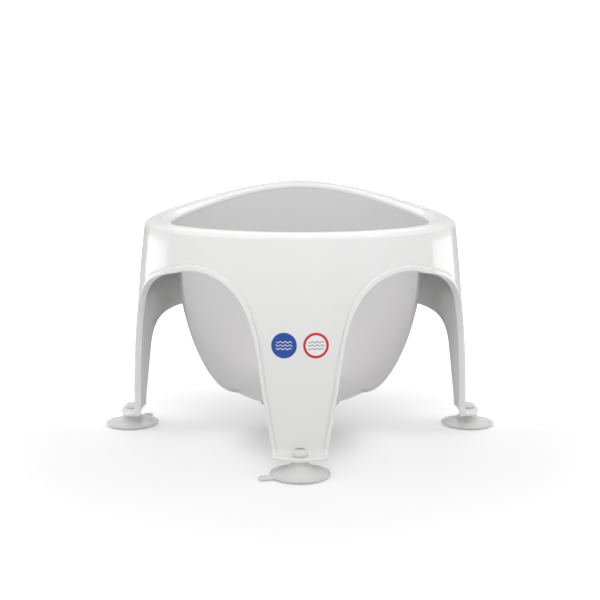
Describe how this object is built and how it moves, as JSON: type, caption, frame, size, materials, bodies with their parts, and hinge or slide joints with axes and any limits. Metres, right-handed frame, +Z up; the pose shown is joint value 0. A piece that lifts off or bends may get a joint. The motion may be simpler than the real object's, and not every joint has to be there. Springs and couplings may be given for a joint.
{
  "type": "baby bath seat",
  "caption": "Ring-shaped baby bath seat on legs with suction feet: white moulded frame with arched openings and a soft grey bucket seat hung inside, rising towards the back.",
  "frame": {"origin": "middle of the footprint of the four suction cups, on the floor", "axes": "+Z up, -Y to the front, where the bather's legs go out on both sides of the front leg; the high backrest side is at +Y"},
  "size_m": [0.3808, 0.3808, 0.2348],
  "materials": {
    "frame": "smooth glossy white moulded polypropylene",
    "seat": "soft-touch matte light grey elastomer",
    "cup": "soft clear greyish vinyl, shiny"
  },
  "bodies": {
    "root": {"frame": "frame", "seat": "seat", "suction_cup_front": "cup", "suction_cup_right": "cup", "suction_cup_back": "cup", "suction_cup_left": "cup"}
  },
  "joints": []
}
